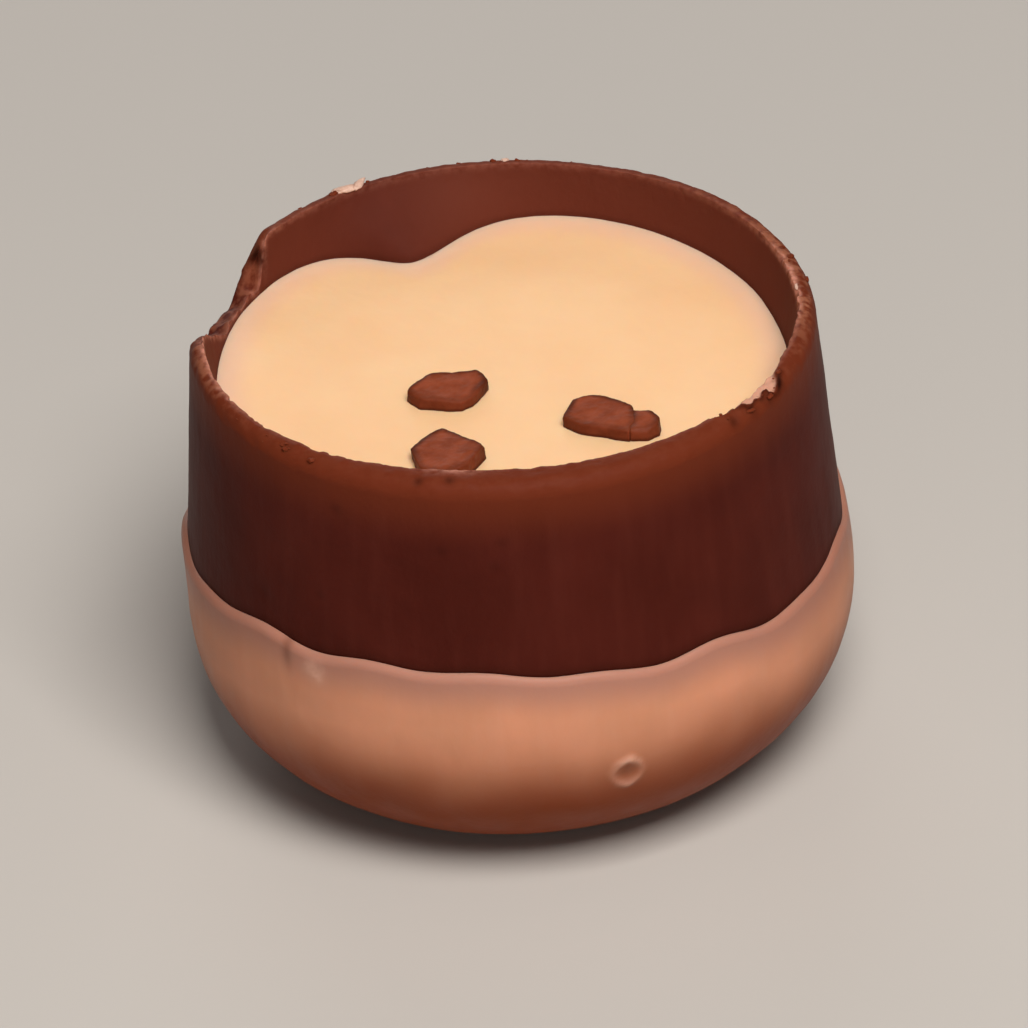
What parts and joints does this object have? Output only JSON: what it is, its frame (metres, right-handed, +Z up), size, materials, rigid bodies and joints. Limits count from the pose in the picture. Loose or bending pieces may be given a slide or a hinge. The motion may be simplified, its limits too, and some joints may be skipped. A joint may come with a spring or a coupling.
{
  "type": "filled chocolate cup",
  "caption": "Small round cup of milk chocolate with a blond chocolate foot, filled with cream below the rim and topped with chocolate chips.",
  "frame": {"origin": "centre of the flat underside, which is the bottom centre of the bounding box", "axes": "+Z up through the cup, -Y towards the side that the picture shows"},
  "size_m": [0.03, 0.03, 0.0211],
  "materials": {
    "blond_chocolate": "satin",
    "milk_chocolate": "satin",
    "cream": "satin"
  },
  "bodies": {
    "root": {"foot": "blond_chocolate", "cup": "milk_chocolate", "filling": "cream"}
  },
  "joints": []
}
